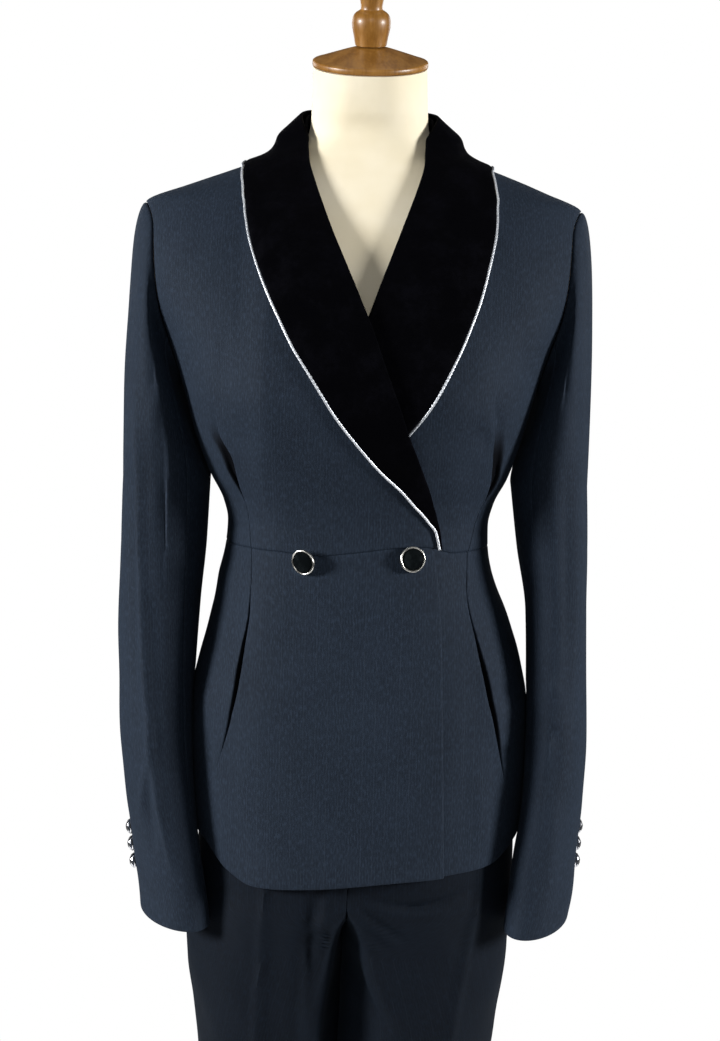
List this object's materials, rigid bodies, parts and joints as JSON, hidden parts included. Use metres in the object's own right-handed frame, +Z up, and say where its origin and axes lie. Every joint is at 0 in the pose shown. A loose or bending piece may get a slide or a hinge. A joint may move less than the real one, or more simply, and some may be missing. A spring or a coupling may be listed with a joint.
{
  "type": "showmanship suit on dress form",
  "caption": "Women's double-breasted jacket with a velvet shawl collar and its trousers, worn by a limbless dress form on a pole stand.",
  "frame": {"origin": "on the floor under the centre of the stand's base", "axes": "+Z up, -Y the front of the suit, +X the wearer's left"},
  "size_m": [0.449, 0.41, 1.7351],
  "materials": {
    "suiting": "fine wool suiting, very dark navy grey with a faint pin-dot stripe",
    "velvet": "black cotton velvet",
    "silver_piping": "silver lurex cord piping",
    "button_rim": "polished pale metal",
    "crystal": "faceted grey crystal",
    "form_linen": "cream jersey cover",
    "wood": "honey-brown turned wood, satin",
    "steel": "dark satin enamel"
  },
  "bodies": {
    "root": {"jacket_front_right": "suiting", "jacket_back_right": "suiting", "jacket_skirt_front_right": "suiting", "jacket_skirt_back_right": "suiting", "sleeve_top_right": "suiting", "sleeve_under_right": "suiting", "trouser_front_right": "suiting", "trouser_back_right": "suiting", "collar_right": "velvet", "piping_right": "silver_piping", "front_button_right": "button_rim", "front_button_velvet_right": "velvet", "cuff_button_right_1": "crystal", "cuff_button_right_2": "crystal", "cuff_button_right_3": "crystal", "jacket_front_left": "suiting", "jacket_back_left": "suiting", "jacket_skirt_front_left": "suiting", "jacket_skirt_back_left": "suiting", "sleeve_top_left": "suiting", "sleeve_under_left": "suiting", "trouser_front_left": "suiting", "trouser_back_left": "suiting", "collar_left": "velvet", "piping_left": "silver_piping", "front_button_left": "button_rim", "front_button_velvet_left": "velvet", "cuff_button_left_1": "crystal", "cuff_button_left_2": "crystal", "cuff_button_left_3": "crystal", "collar_stand": "velvet", "trouser_waistband": "suiting", "form_torso": "form_linen", "form_neck_cap": "wood", "form_finial": "wood", "stand_socket": "steel", "stand_pole": "steel", "stand_hub": "steel", "stand_base": "steel"}
  },
  "joints": []
}
